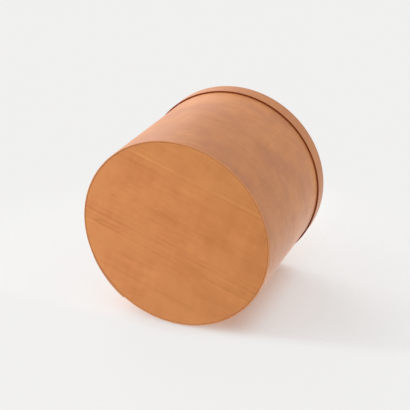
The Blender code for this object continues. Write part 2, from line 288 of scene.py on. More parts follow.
def bend(strip, inner_radius, thickness, angle):
    """Wraps a flat strip round the form, after keeping its place along, across and into it."""
    keep_flat_place(strip, (0, 2, 1))
    for vertex in strip.data.vertices:
        run, depth, height = vertex.co
        radius = inner_radius(run) + thickness(run) * depth / STRIP_THICKNESS
        turn = angle(run)
        vertex.co = (radius * math.cos(turn), radius * math.sin(turn), height)


def smooth(piece):
    bpy.ops.object.select_all(action="DESELECT")
    bpy.context.view_layer.objects.active = piece
    piece.select_set(True)
    bpy.ops.object.shade_smooth_by_angle(angle=SMOOTH_ANGLE)


def cut_fingers(strip, end):
    """Draws the fingers out of the end of the strip in short steps, narrower at each."""
    slant = STRIP_THICKNESS * FINGER_SLANT
    for middle in FINGER_MIDDLES:
        for flank in (-1, 1):
            bpy.ops.mesh.select_all(action="SELECT")
            height = middle + flank * finger_half_width(0)
            bpy.ops.mesh.bisect(plane_co=(0, 0, height), plane_no=(0, 0, 1))
    select_only(
        strip, "VERT", lambda v: abs(v.co.x - end) < NEAR and v.co.y > STRIP_THICKNESS / 2
    )
    bpy.ops.transform.translate(value=(-slant, 0, 0))
    steps = round(FINGER_LENGTH / FLANK_STEP)
    for middle in FINGER_MIDDLES:
        select_only(
            strip,
            "FACE",
            lambda f: f.normal.x > 0.5 and abs(f.calc_center_median().z - middle) < NEAR,
        )
        width_before = (finger_half_width(0), finger_half_width(0))
        x = end
        for step in range(steps + 1):
            reach = FLANK_STEP * step
            ahead = end + FINGER_GAP / 2 + reach - x
            bpy.ops.mesh.extrude_region_move(TRANSFORM_OT_translate={"value": (ahead, 0, 0)})
            x += ahead
            width = (finger_half_width(reach), finger_half_width(reach) - slant)
            for side_of_strip, before, after in zip((0, 1), width_before, width):
                select_only(
                    strip,
                    "VERT",
                    lambda v: v.co.x > x - FLANK_STEP / 2
                    and abs(v.co.z - middle) < FINGER_PITCH / 2
                    and (v.co.y > STRIP_THICKNESS / 2) == side_of_strip,
                )
                bpy.ops.transform.resize(
                    value=(1, 1, after / before), center_override=(x, 0, middle)
                )
            width_before = width
            select_only(
                strip,
                "FACE",
                lambda f: f.normal.x > 0.5
                and f.calc_center_median().x > x - FLANK_STEP / 2
                and abs(f.calc_center_median().z - middle) < FINGER_PITCH / 2,
            )


def round_finger_roots(strip, root):
    """Rounds the strip's end where it shows between two fingers, as the knife leaves it."""
    select_only(
        strip,
        "EDGE",
        lambda e: edge_run(e)[1] > STRIP_THICKNESS / 2
        and edge_run(e)[2] < NEAR
        and root - STRIP_THICKNESS < min(v.co.x for v in e.verts) < root + NEAR
        and FINGER_MIDDLES[0] < e.verts[0].co.z < FINGER_MIDDLES[-1],
    )
    bpy.ops.mesh.bevel(offset=ROOT_ROUNDING, segments=6, affect="EDGES")


def add_node(tree, kind, inputs=None, **settings):
    """Adds a shader node with its settings, and fills or links its inputs."""
    node = tree.nodes.new(kind)
    for name, value in settings.items():
        setattr(node, name, value)
    for key, value in (inputs or {}).items():
        if isinstance(value, bpy.types.NodeSocket):
            tree.links.new(value, node.inputs[key])
        else:
            node.inputs[key].default_value = value
    return node


def work_out(tree, operation, *values):
    """One step of arithmetic on values or links."""
    node = add_node(tree, "ShaderNodeMath", dict(enumerate(values)), operation=operation)
    return node.outputs[0]


def grade(tree, value, low, high, at_low, at_high):
    """Passes smoothly from one value to another as its input goes from low to high."""
    limits = {"From Min": low, "From Max": high, "To Min": at_low, "To Max": at_high}
    node = add_node(
        tree, "ShaderNodeMapRange", {"Value": value, **limits}, interpolation_type="SMOOTHSTEP"
    )
    return node.outputs[0]


def work_out_place(tree, operation, *places):
    """One step of arithmetic on places, which gives a place or, for a distance, a value."""
    inputs = dict(enumerate(places))
    node = add_node(tree, "ShaderNodeVectorMath", inputs, operation=operation)
    gives_value = operation in ("LENGTH", "DISTANCE", "DOT_PRODUCT")
    return node.outputs["Value" if gives_value else "Vector"]


def figure(tree, place, waves, detail=1):
    """Noise with so many waves a metre along, across and into the wood."""
    drawn = work_out_place(tree, "MULTIPLY", place, waves)
    settings = {"Vector": drawn, "Scale": 1, "Detail": detail, "Roughness": 0.55}
    return add_node(tree, "ShaderNodeTexNoise", settings).outputs[0]


def colour_between(tree, share, colour, other):
    inputs = {0: share, 6: colour, 7: other}
    return add_node(tree, "ShaderNodeMix", inputs, data_type="RGBA").outputs[2]


def make_cherry():
    """Oiled cherry. Place runs along the grain on X, across it on Y and into the wood on Z."""
    cherry = bpy.data.node_groups.new("cherry", "ShaderNodeTree")
    for name, kind in (
        ("Place", "Vector"),
        ("Pale", "Color"),
        ("Deep", "Color"),
        ("Tint", "Color"),
        ("Dark", "Color"),
        ("Streaks", "Float"),
        ("Marks", "Float"),
    ):
        cherry.interface.new_socket(name, in_out="INPUT", socket_type=f"NodeSocket{kind}")
    for name, kind in (("Color", "Color"), ("Roughness", "Float"), ("Height", "Float")):
        cherry.interface.new_socket(name, in_out="OUTPUT", socket_type=f"NodeSocket{kind}")
    given = add_node(cherry, "NodeGroupInput").outputs

    wander = figure(cherry, given["Place"], WANDER_WAVES)
    place = work_out_place(cherry, "MULTIPLY_ADD", wander, (0, WANDER, 0), given["Place"])
    drawn = {
        name: figure(cherry, place, waves, detail)
        for name, (waves, detail, _) in CHERRY_FIGURES.items()
    }
    pores = grade(cherry, figure(cherry, place, PORE_WAVES), *PORES_SHOW, 0, 1)
    gum = grade(cherry, figure(cherry, place, GUM_WAVES), *GUM_SHOWS, 0, 1)
    across = add_node(cherry, "ShaderNodeSeparateXYZ", {0: place}).outputs["Y"]
    season = work_out(cherry, "MULTIPLY", across, SEASONS)
    season = work_out(cherry, "MULTIPLY_ADD", drawn["growth"], SEASON_WAVER, season)
    late_wood = work_out(cherry, "POWER", work_out(cherry, "FRACT", season), LATE_WOOD_POWER)

    shade = work_out(cherry, "MULTIPLY_ADD", late_wood, LATE_WOOD_SHADE, given["Streaks"])
    for name, (_, _, weight) in CHERRY_FIGURES.items():
        centred = work_out(cherry, "MULTIPLY_ADD", drawn[name], weight, -weight / 2)
        shade = work_out(cherry, "ADD", shade, centred)
    shade = work_out(cherry, "ADD", shade, MIDDLE_SHADE)
    colour = colour_between(cherry, shade, given["Pale"], given["Deep"])
    tinted = grade(cherry, figure(cherry, place, TINT_WAVES, 2), *TINT_SHOWS, 0, TINT_SHARE)
    colour = colour_between(cherry, tinted, colour, given["Tint"])
    marks = work_out(cherry, "MULTIPLY", gum, GUM_DARKNESS)
    marks = work_out(cherry, "MULTIPLY_ADD", pores, PORE_DARKNESS, marks)
    marks = work_out(cherry, "MAXIMUM", marks, given["Marks"])
    colour = colour_between(cherry, marks, colour, given["Dark"])

    rough = work_out(cherry, "MULTIPLY_ADD", drawn["fibre"], FIBRE_ROUGHNESS, OILED_ROUGHNESS)
    rough = work_out(cherry, "MULTIPLY_ADD", pores, PORE_ROUGHNESS, rough)
    rise = work_out(cherry, "MULTIPLY_ADD", drawn["curl"], CURL_RISE, drawn["fibre"])
    rise = work_out(cherry, "MULTIPLY_ADD", late_wood, LATE_WOOD_RISE, rise)
    rise = work_out(cherry, "MULTIPLY_ADD", pores, PORE_RISE, rise)
    add_node(cherry, "NodeGroupOutput", {"Color": colour, "Roughness": rough, "Height": rise})
    return cherry


cherry = make_cherry()


def new_material(name):
    material = bpy.data.materials.new(name)
    material.use_nodes = True
    return material, material.node_tree, material.node_tree.nodes["Principled BSDF"]


def oil(tree, shader, inputs):
    """Places the cherry in a material, under a thin coat of rubbed oil."""
    wood = add_node(tree, "ShaderNodeGroup", inputs, node_tree=cherry).outputs
    relief = {"Height": wood["Height"], "Distance": GRAIN_RELIEF}
    bump = add_node(tree, "ShaderNodeBump", relief)
    tree.links.new(wood["Color"], shader.inputs["Base Color"])
    tree.links.new(wood["Roughness"], shader.inputs["Roughness"])
    tree.links.new(bump.outputs[0], shader.inputs["Normal"])
    shader.inputs["Specular IOR Level"].default_value = OIL_SHEEN


def strip_wood(name, colours, start, edges, ripple=0.0, painted_light=None):
    """Cherry for a bent strip, darker along its sanded edges, given as (height, strength). An edge
    shows darker oil, and the lid's lower edge painted shade of the gap beneath it as well.

    The last argument is its pale and deep colour towards the lid, where painted light brightens
    it; with it the lower edge is painted paler too, painted light against the joint's shade.
    """
    pale, deep, tint, dark = colours
    material, tree, shader = new_material(name)
    flat = add_node(tree, "ShaderNodeAttribute", attribute_name="flat_place").outputs["Vector"]
    across = add_node(tree, "ShaderNodeSeparateXYZ", {0: flat}).outputs["Y"]
    # Painted light: the side grows paler up towards the lid, and paler still beside it.
    if painted_light:
        painted_light_share = grade(tree, across, PAINTED_LIGHT_FROM, PAINTED_LIGHT_TO, 0, 1)
        pale = colour_between(tree, painted_light_share, pale, painted_light[0])
        deep = colour_between(tree, painted_light_share, deep, painted_light[1])
        # The lower edge is painted paler: painted light against the shade of the joint beside the
        # base.
        edge_light_share = grade(tree, across, 0, EDGE_MARK_WIDTH, EDGE_PAINTED_LIGHT_SHARE, 0)
        pale = colour_between(tree, edge_light_share, pale, EDGE_PAINTED_LIGHT)
        deep = colour_between(tree, edge_light_share, deep, EDGE_PAINTED_LIGHT)
        tint = colour_between(tree, edge_light_share, tint, EDGE_PAINTED_LIGHT)
    # Each edge darkens towards the dark colour: darker oil, and on the lid's lower edge painted
    # shade.
    edge = 0.0
    for height, strength in edges:
        off = work_out(tree, "ABSOLUTE", work_out(tree, "SUBTRACT", across, height))
        edge = work_out(tree, "MAXIMUM", edge, grade(tree, off, 0, EDGE_MARK_WIDTH, strength, 0))
    place = work_out_place(tree, "ADD", flat, start)
    rippled = figure(tree, place, RIPPLE_WAVES)
    rippled = work_out(tree, "MULTIPLY_ADD", rippled, ripple, -ripple / 2)
    oil(tree, shader, {
        "Place": place, "Pale": pale, "Deep": deep, "Tint": tint, "Dark": dark,
        "Streaks": rippled, "Marks": edge,
    })
    return material


def finish_piece(piece, node, body, material):
    """Puts a piece in the place of its solid and gives it its finish."""
    smooth(piece)
    piece.data.materials.clear()
    piece.data.materials.append(material)
    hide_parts(node)
    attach(piece, body)


side_tack_places = [
    (run, middle)
    for run in (FINGER_ROOT + TACK_FROM_ROOT, LAP_LENGTH - TACK_FROM_TIP)
    for middle in FINGER_MIDDLES
]
side_peg_runs = [
    (FINGER_ROOT - PEG_BEFORE_ROOT + TURN * i / PEG_COUNT) % TURN for i in range(PEG_COUNT)
]
tack_hole = TACK_SHANK_RADIUS + HOLE_FIT
tack_sink = TACK_CLINCH_RADIUS + HOLE_FIT
peg_hole = PEG_RADIUS + HOLE_FIT

side_root = TURN + FINGER_ROOT - FINGER_GAP / 2
side = saw_strip("side", side_root, SIDE_HEIGHT)
cut_fingers(side, side_root)
round_finger_roots(side, side_root)
sand_edges(SANDED_EDGE)
rule_across(side, SIDE_RULING)
rule_beside_holes([PEG_HEIGHT, *FINGER_MIDDLES])
bpy.ops.object.mode_set(mode="OBJECT")
side_holes = [(run, z, tack_hole, tack_sink) for run, z in side_tack_places]
side_holes += [(run + TURN, z, tack_hole, None) for run, z in side_tack_places]
side_holes += [(run, PEG_HEIGHT, peg_hole, None) for run in side_peg_runs]
side_holes += [
    (run + TURN, PEG_HEIGHT, peg_hole, None) for run in side_peg_runs if run < FINGER_ROOT
]
drill(side, side_holes)
bend(side, side_inner_radius, side_thickness, angle_at)
side_material = strip_wood(
    "side_cherry", (SIDE_PALE, SIDE_DEEP, SIDE_TINT, SIDE_DARK), SIDE_FROM,
    ((SIDE_HEIGHT, OILED_SHARE),), painted_light=SIDE_PAINTED_LIGHT,
)
finish_piece(side, "side_band", "box", side_material)

# The base. A flat board of the same cherry is turned to the inside of the side, its corners
# are sanded, and twelve blind holes are bored in its edge for the pegs. It is flat-sawn, so a
# few crowded growth lines cross it, and it takes the oil more orange than the bent side does.
BASE_THICKNESS = 0.0065
BOARD_FIT = 0.00028  # the fine dark joint round a board
BOARD_SIDES = 360
PEG_DEPTH = 0.009  # reach of a peg into its board
BASE_GRAIN_TURN = math.radians(19.3)
BASE_PALE = (0.755, 0.290, 0.087, 1)
BASE_DEEP = (0.570, 0.190, 0.048, 1)
BASE_TINT = (0.675, 0.255, 0.074, 1)
BASE_DARK = (0.270, 0.062, 0.006, 1)
BASE_GOLD = (0.740, 0.305, 0.088, 1)
GOLD_FROM = 0.064  # the outer, more golden wood starts this far across the base
GOLD_BLEND = 0.006  # and reaches its full share over this width
GOLD_SHARE = 0.8
BASE_FROM = (0.7, 0.4, 0.5)  # the place in the log that the board comes from
STREAK_DRIFT = 0.004  # how far the crowded growth lines waver
DRIFT_WAVES = (9, 9, 9)
FADING_WAVES = (18, 75, 14)
FADING_SHOWS = (0.35, 0.6)
FADED_SHARE = 0.25  # how much of such a line is left where it fades
# Each crowded growth line as its place across the base, its half width and its darkness.
BASE_STREAKS = (
    (0.0775, 0.0018, 0.18),
    (0.0720, 0.0022, 0.18),
    (0.0685, 0.0016, -0.42),
    (0.0655, 0.0020, 0.36),
    (0.0585, 0.0028, 0.24),
    (0.0490, 0.0040, 0.12),
    (0.0160, 0.0050, 0.24),
    (0.0045, 0.0025, 0.14),
    (-0.0105, 0.0018, 0.22),
    (-0.0165, 0.0024, 0.36),
    (-0.0200, 0.0014, -0.24),
    (-0.0230, 0.0020, 0.26),
    (-0.0285, 0.0026, 0.36),
    (-0.0310, 0.0015, -0.20),
    (-0.0500, 0.0060, 0.16),
    (-0.0715, 0.0035, 0.22),
)
# Each small dark fleck of gum as its place along and across the base.
BASE_FLECKS = ((0.0860, -0.0270), (0.0815, -0.0252), (0.0760, 0.0106))
FLECK_SIZE = (0.0050, 0.0011)  # half of a fleck, along the grain and across it
FLECK_CORE = 0.2  # the share of a fleck that is wholly dark
FLECK_DARKNESS = 0.4


def turn_board(name, foot, thickness, radius_at):
    """A round board with sanded corners, its edge fitted to what holds it."""
    bpy.ops.object.select_all(action="DESELECT")
    bpy.ops.mesh.primitive_cylinder_add(
        vertices=BOARD_SIDES,
        radius=SIDE_RADIUS,
        depth=thickness,
        location=(0, 0, foot + thickness / 2),
    )
    board = name_piece(name)
    for vertex in board.data.vertices:
        x, y, _ = vertex.co
        vertex.co.xy *= radius_at(math.atan2(y, x)) / math.hypot(x, y)
    bpy.ops.object.mode_set(mode="EDIT")
    select_only(board, "EDGE", lambda e: edge_run(e)[2] < NEAR)
    bpy.ops.mesh.bevel(offset=SANDED_EDGE, segments=3, affect="EDGES")
    bpy.ops.object.mode_set(mode="OBJECT")
    return board


def place_round(angle, radius, height):
    """Turns a pin's Z axis out from the middle of the box and moves it to its place."""
    place = Vector((radius * math.cos(angle), radius * math.sin(angle), height))
    return Matrix.Translation(place) @ Euler((0, math.pi / 2, angle)).to_matrix().to_4x4()


def bore(board, places, height):
    """Blind peg holes in a board's edge, from the (angle, radius) of each."""
    bits = []
    for angle, radius in places:
        bpy.ops.object.select_all(action="DESELECT")
        bpy.ops.mesh.primitive_cylinder_add(
            vertices=PIN_SIDES, radius=peg_hole, depth=2 * PEG_DEPTH, location=(0, 0, 0)
        )
        bit = name_piece("bit")
        bit.data.transform(place_round(angle, radius, height))
        bits.append(bit)
    cut_away(board, join_bits(bits))


def gum_flecks(tree, place, flecks):
    """Small dark marks, drawn out along the grain."""
    half_length, half_width = FLECK_SIZE
    marks = 0.0
    for along, across in flecks:
        off = work_out_place(tree, "SUBTRACT", place, (along, across, 0))
        off = work_out_place(tree, "MULTIPLY", off, (1 / half_length, 1 / half_width, 0))
        off = work_out_place(tree, "LENGTH", off)
        mark = grade(tree, off, FLECK_CORE, 1, FLECK_DARKNESS, 0)
        marks = work_out(tree, "MAXIMUM", marks, mark)
    return marks


def board_wood(name, colours, grain_turn, start, streaks, gold=None, flecks=()):
    """Cherry for a flat board. Gold is the colour and place of its outer wood, if it shows."""
    material, tree, shader = new_material(name)
    pale, deep, tint, dark = colours
    here = add_node(tree, "ShaderNodeTexCoord").outputs["Object"]
    turned = add_node(tree, "ShaderNodeMapping", {"Vector": here, "Rotation": (0, 0, grain_turn)})
    place = turned.outputs[0]
    across = add_node(tree, "ShaderNodeSeparateXYZ", {0: place}).outputs["Y"]
    across = work_out(tree, "SUBTRACT", across, STREAK_DRIFT / 2)
    drift = figure(tree, place, DRIFT_WAVES)
    across = work_out(tree, "MULTIPLY_ADD", drift, STREAK_DRIFT, across)
    crowded = 0.0
    for middle, half_width, darkness in streaks:
        off = work_out(tree, "ABSOLUTE", work_out(tree, "SUBTRACT", across, middle))
        crowded = work_out(tree, "ADD", crowded, grade(tree, off, 0, half_width, darkness, 0))
    fading = grade(tree, figure(tree, place, FADING_WAVES), *FADING_SHOWS, FADED_SHARE, 1)
    if gold:
        gold_colour, gold_from = gold
        outer = grade(tree, across, gold_from, gold_from + GOLD_BLEND, 0, GOLD_SHARE)
        pale = colour_between(tree, outer, pale, gold_colour)
    oil(tree, shader, {
        "Place": work_out_place(tree, "ADD", place, start),
        "Pale": pale, "Deep": deep, "Tint": tint, "Dark": dark,
        "Streaks": work_out(tree, "MULTIPLY", crowded, fading),
        "Marks": gum_flecks(tree, place, flecks),
    })
    return material


base_radius = SIDE_INNER_RADIUS - BOARD_FIT
base = turn_board("base", 0, BASE_THICKNESS, lambda angle: base_radius)
base_peg_places = [(angle_at(run), base_radius) for run in side_peg_runs]
bore(base, base_peg_places, PEG_HEIGHT)
base_material = board_wood(
    "base_cherry", (BASE_PALE, BASE_DEEP, BASE_TINT, BASE_DARK), BASE_GRAIN_TURN,
    BASE_FROM, BASE_STREAKS, (BASE_GOLD, GOLD_FROM), BASE_FLECKS,
)
finish_piece(base, "bottom_board", "box", base_material)

# The side's tacks. Each is cut from copper with a thin, slightly domed head, driven through
# both layers of the lap on an iron, which turns its point over and sinks it in the wood. The
# heads keep the marks of the hammer and have begun to brown.
TACK_HEAD_RADIUS = 0.0021
TACK_HEAD_HEIGHT = 0.00065
TACK_RIM_HEIGHT = TACK_HEAD_HEIGHT / 2  # the head's upright edge, below its dome
# The dome of a head, ring by ring, as shares of its radius and of its height.
TACK_DOME = ((0.9, 0.25), (0.75, 0.15), (0.5, 0.08), (0.2, 0.02))
TACK_DENTS = 0.08 * TACK_HEAD_HEIGHT  # how unevenly the hammer leaves a head
CLINCH_FLAT = 0.7  # share of the turned point's radius and depth before it rounds off
COPPER_BRIGHT = (0.860, 0.330, 0.165, 1)
COPPER_BROWN = (0.340, 0.110, 0.045, 1)
RIM_BROWN_FROM = 0.6 * TACK_HEAD_RADIUS  # the brown of the rim starts here and grows outwards
RIM_BROWN = 0.7
BROWN_WAVES = (900, 900, 900)
BROWN_SHOWS = (0.4, 0.7)
BROWN_SHARES = (0.1, 0.5)  # of its brightest and its brownest places, clear of the rim
SCRATCH_WAVES = (6000, 6000, 500)
SCRATCH_RISE = 0.15
HAMMER_MARKS = 1300  # marks a metre
COPPER_ROUGHNESS = 0.26
BROWN_ROUGHNESS = 0.22  # what full brown adds to it
COPPER_RELIEF = 0.00012


def draw_out(pin, rise, radius):
    """Extrudes the end of a pin that is selected, and gives the new end its radius."""
    bpy.ops.mesh.extrude_region_move(TRANSFORM_OT_translate={"value": (0, 0, rise)})
    end = [v for v in bmesh.from_edit_mesh(pin.data).verts if v.select]
    widening = radius / max(v.co.x for v in end)
    bpy.ops.transform.resize(value=(widening, widening, 1), center_override=(0, 0, 0))


def drive_tack(name, angle, inside, outside, height, seed):
    """One tack, hammered a little unevenly, with its point spread over on the inside."""
    bpy.ops.object.select_all(action="DESELECT")
    bpy.ops.mesh.primitive_cylinder_add(
        vertices=PIN_SIDES,
        radius=TACK_HEAD_RADIUS,
        depth=TACK_RIM_HEIGHT,
        location=(0, 0, TACK_RIM_HEIGHT / 2),
    )
    tack = name_piece(name)
    grip = outside - inside
    bpy.ops.object.mode_set(mode="EDIT")
    select_only(tack, "FACE", lambda f: f.normal.z > 0.5)
    for share, rise in TACK_DOME:
        draw_out(tack, rise * TACK_HEAD_HEIGHT, share * TACK_HEAD_RADIUS)
    select_only(tack, "FACE", lambda f: f.normal.z < -0.5)
    for radius, drop in (
        (TACK_SHANK_RADIUS, 0),
        (TACK_SHANK_RADIUS, grip - SINK_DEPTH),
        (TACK_CLINCH_RADIUS, 0),
        (TACK_CLINCH_RADIUS, SINK_DEPTH * CLINCH_FLAT),
        (TACK_CLINCH_RADIUS * CLINCH_FLAT, SINK_DEPTH * (1 - CLINCH_FLAT)),
    ):
        draw_out(tack, -drop, radius)
    select_only(tack, "VERT", lambda v: v.co.z > TACK_RIM_HEIGHT / 2)
    bpy.ops.transform.vertex_random(offset=TACK_DENTS, seed=seed)
    bpy.ops.object.mode_set(mode="OBJECT")
    keep_flat_place(tack)
    tack.data.transform(place_round(angle, outside, height))
    return tack


def make_copper():
    """Hammered copper, brown round the rim of each head and in its hollows."""
    material, tree, shader = new_material("tack_copper")
    here = add_node(tree, "ShaderNodeTexCoord").outputs["Object"]
    flat = add_node(tree, "ShaderNodeAttribute", attribute_name="flat_place").outputs["Vector"]
    out = work_out_place(tree, "LENGTH", work_out_place(tree, "MULTIPLY", flat, (1, 1, 0)))
    rim = grade(tree, out, RIM_BROWN_FROM, TACK_HEAD_RADIUS, 0, RIM_BROWN)
    clouds = figure(tree, here, BROWN_WAVES, 3)
    browned = work_out(tree, "ADD", rim, grade(tree, clouds, *BROWN_SHOWS, *BROWN_SHARES))
    scratches = figure(tree, here, SCRATCH_WAVES, 2)
    blows = add_node(
        tree,
        "ShaderNodeTexVoronoi",
        {"Vector": here, "Scale": HAMMER_MARKS, "Smoothness": 0.6},
        feature="SMOOTH_F1",
    ).outputs["Distance"]
    rough = work_out(tree, "MULTIPLY_ADD", browned, BROWN_ROUGHNESS, COPPER_ROUGHNESS)
    rise = work_out(tree, "MULTIPLY_ADD", scratches, SCRATCH_RISE, blows)
    bump = add_node(tree, "ShaderNodeBump", {"Height": rise, "Distance": COPPER_RELIEF})
    tree.links.new(
        colour_between(tree, browned, COPPER_BRIGHT, COPPER_BROWN), shader.inputs["Base Color"]
    )
    tree.links.new(rough, shader.inputs["Roughness"])
    tree.links.new(bump.outputs[0], shader.inputs["Normal"])
    shader.inputs["Metallic"].default_value = 1
    return material


copper = make_copper()
for number, (run, height) in enumerate(side_tack_places, 1):
    tack = drive_tack(
        f"tack_{number}", angle_at(run), SIDE_INNER_RADIUS, side_outer_radius(run + TURN),
        height, number,
    )
    finish_piece(tack, f"side_tack_{number}", "box", copper)

# The base's pegs. Split from hard wood and driven through the side into the edge of the
# board, then trimmed and sanded flush, so that only their dark end grain shows.
PEG_EASE = 0.00012
PEG_PALE = (0.560, 0.215, 0.078, 1)
PEG_DARK = (0.300, 0.098, 0.032, 1)
PEG_RING = 0.00045  # from one growth ring to the next
PEG_HEART = (0.004, 0.001, 0)  # the middle of the growth rings, off the peg's own middle
RING_WAVES = (300, 300, 300)
RING_WAVER = 3  # by how many rings their course wavers
RING_POWER = 3
RING_DARKNESS = 0.5
PEG_PORE_WAVES = (7000, 7000, 7000)
PEG_PORES_SHOW = (0.55, 0.7)
PEG_PORE_DARKNESS = 0.6
JOINT_FROM = 0.82 * PEG_RADIUS  # the dark line round the peg starts here
JOINT_DARKNESS = 0.9
PEG_ROUGHNESS = 0.4
PEG_DARK_ROUGHNESS = 0.2  # what its darkest places add to it
PEG_RELIEF = 0.00003


def drive_peg(name, angle, board_edge, outside, height):
    """One peg, from the outside of the side into the board, with both ends eased."""
    bpy.ops.object.select_all(action="DESELECT")
    length = outside - board_edge + PEG_DEPTH - 2 * HOLE_FIT
    bpy.ops.mesh.primitive_cylinder_add(
        vertices=PIN_SIDES, radius=PEG_RADIUS, depth=length, location=(0, 0, -length / 2)
    )
    peg = name_piece(name)
    bpy.ops.object.mode_set(mode="EDIT")
    select_only(peg, "EDGE", lambda e: edge_run(e)[2] < NEAR)
    bpy.ops.mesh.bevel(offset=PEG_EASE, segments=2, affect="EDGES")
    bpy.ops.object.mode_set(mode="OBJECT")
    keep_flat_place(peg)
    peg.data.transform(place_round(angle, outside, height))
    return peg


def make_peg_wood():
    """End grain: bowed growth rings, open pores and a dark line where the peg fills its hole."""
    material, tree, shader = new_material("peg_wood")
    here = add_node(tree, "ShaderNodeTexCoord").outputs["Object"]
    flat = add_node(tree, "ShaderNodeAttribute", attribute_name="flat_place").outputs["Vector"]
    level = work_out_place(tree, "MULTIPLY", flat, (1, 1, 0))
    bow = work_out(tree, "DIVIDE", work_out_place(tree, "DISTANCE", level, PEG_HEART), PEG_RING)
    bow = work_out(tree, "MULTIPLY_ADD", figure(tree, here, RING_WAVES), RING_WAVER, bow)
    ring = work_out(tree, "POWER", work_out(tree, "FRACT", bow), RING_POWER)
    pores = figure(tree, here, PEG_PORE_WAVES)
    pores = grade(tree, pores, *PEG_PORES_SHOW, 0, PEG_PORE_DARKNESS)
    out = work_out_place(tree, "LENGTH", level)
    joint = grade(tree, out, JOINT_FROM, PEG_RADIUS, 0, JOINT_DARKNESS)
    dark = work_out(tree, "MULTIPLY_ADD", ring, RING_DARKNESS, pores)
    dark = work_out(tree, "MAXIMUM", dark, joint)
    relief = {"Height": dark, "Distance": PEG_RELIEF}
    bump = add_node(tree, "ShaderNodeBump", relief, invert=True)
    tree.links.new(colour_between(tree, dark, PEG_PALE, PEG_DARK), shader.inputs["Base Color"])
    rough = work_out(tree, "MULTIPLY_ADD", dark, PEG_DARK_ROUGHNESS, PEG_ROUGHNESS)
    tree.links.new(rough, shader.inputs["Roughness"])
    tree.links.new(bump.outputs[0], shader.inputs["Normal"])
    shader.inputs["Specular IOR Level"].default_value = OIL_SHEEN
    return material


peg_wood = make_peg_wood()
for number, (run, (angle, edge)) in enumerate(zip(side_peg_runs, base_peg_places), 1):
    outside = side_outer_radius(run + TURN if run < FINGER_ROOT else run)
    peg = drive_peg(f"base_peg_{number:02d}", angle, edge, outside, PEG_HEIGHT)
    finish_piece(peg, f"bottom_peg_{number:02d}", "box", peg_wood)

# The lid's band. A narrower strip of the same cherry, planed thin at its inner end, bent
# round the box over its lap, and lapped and tacked over itself. Its lower edge shows as a dark
# line: darker oil in its end grain, deepened by painted shade of the gap beneath it.
LID_FOOT = 0.161  # height of the lid's lower edge above the table
LID_RIM_HEIGHT = 0.019
LID_CLEARANCE = 0.0004
LID_END_CLEARANCE = 0.0005
LID_SKIVE_LENGTH = 0.028
LID_LAP_LENGTH = 0.038
LID_LAP_END_THICKNESS = 0.001
LID_START = FINGER_ROOT + LID_END_CLEARANCE
LID_TOP_THICKNESS = 0.006
LID_TACK_RUN = LID_LAP_LENGTH - TACK_FROM_TIP
LID_TACK_HEIGHTS = (0.26 * LID_RIM_HEIGHT, 0.58 * LID_RIM_HEIGHT)
LID_PEG_FROM_LAP_END = 0.008
LID_PEG_HEIGHT = LID_RIM_HEIGHT - LID_TOP_THICKNESS / 2
LID_SIDE_PALE = (0.720, 0.285, 0.093, 1)
LID_SIDE_DEEP = (0.540, 0.190, 0.062, 1)
LID_SIDE_TINT = (0.600, 0.225, 0.085, 1)
LID_RIPPLE = 0.8  # how strongly the fine ripples across the band show
LID_SIDE_FROM = (1.7, 0.6, 0.9)
LID_RULING = (17, 21)


def lid_thickness(run):
    skive = min(run / LID_SKIVE_LENGTH, 1)
    taper = max(run - TURN, 0) / LID_LAP_LENGTH
    return min(
        SKIVE_TIP + (STRIP_THICKNESS - SKIVE_TIP) * skive,
        STRIP_THICKNESS - (STRIP_THICKNESS - LID_LAP_END_THICKNESS) * taper,
    )


def lid_inner_radius(run):
    """The band follows the outside of the box, lap and all, and then laps itself."""
    past_step = run - (TURN - LID_END_CLEARANCE)
    on_step = side_outer_radius(TURN + FINGER_ROOT) + LID_CLEARANCE
    if past_step >= 0:
        inner_layer = SIDE_RADIUS + LID_CLEARANCE
        stack = inner_layer + STRIP_THICKNESS + LAP_GAP
        ease = min(past_step / LID_SKIVE_LENGTH, 1)
        needed = inner_layer + lid_thickness(max(run - TURN, 0)) + LAP_GAP
        return max(needed, on_step + (stack - on_step) * ease)
    return side_outer_radius(run + LID_START) + LID_CLEARANCE


def lid_outer_radius(run):
    return lid_inner_radius(run) + lid_thickness(run)


def lid_angle(run):
    return angle_at(run + LID_START)


lid_peg_runs = [
    (LID_LAP_LENGTH - LID_PEG_FROM_LAP_END + TURN * i / PEG_COUNT) % TURN
    for i in range(PEG_COUNT)
]
lid_side_end = TURN + LID_LAP_LENGTH
lid_side = saw_strip("lid_side", lid_side_end, LID_RIM_HEIGHT)
select_only(
    lid_side,
    "VERT",
    lambda v: v.co.x > lid_side_end - NEAR and v.co.y > STRIP_THICKNESS / 2,
)
bpy.ops.transform.translate(value=(-STRIP_THICKNESS * FINGER_SLANT, 0, 0))
sand_edges(SANDED_EDGE)
rule_across(lid_side, LID_RULING)
rule_beside_holes([*LID_TACK_HEIGHTS, LID_PEG_HEIGHT])
bpy.ops.object.mode_set(mode="OBJECT")
lid_holes = [(LID_TACK_RUN, z, tack_hole, tack_sink) for z in LID_TACK_HEIGHTS]
lid_holes += [(LID_TACK_RUN + TURN, z, tack_hole, None) for z in LID_TACK_HEIGHTS]
lid_holes += [(run, LID_PEG_HEIGHT, peg_hole, None) for run in lid_peg_runs]
lid_holes += [
    (run + TURN, LID_PEG_HEIGHT, peg_hole, None) for run in lid_peg_runs if run < LID_LAP_LENGTH
]
drill(lid_side, lid_holes)
bend(lid_side, lid_inner_radius, lid_thickness, lid_angle)
lid_side.data.transform(Matrix.Translation((0, 0, LID_FOOT)))
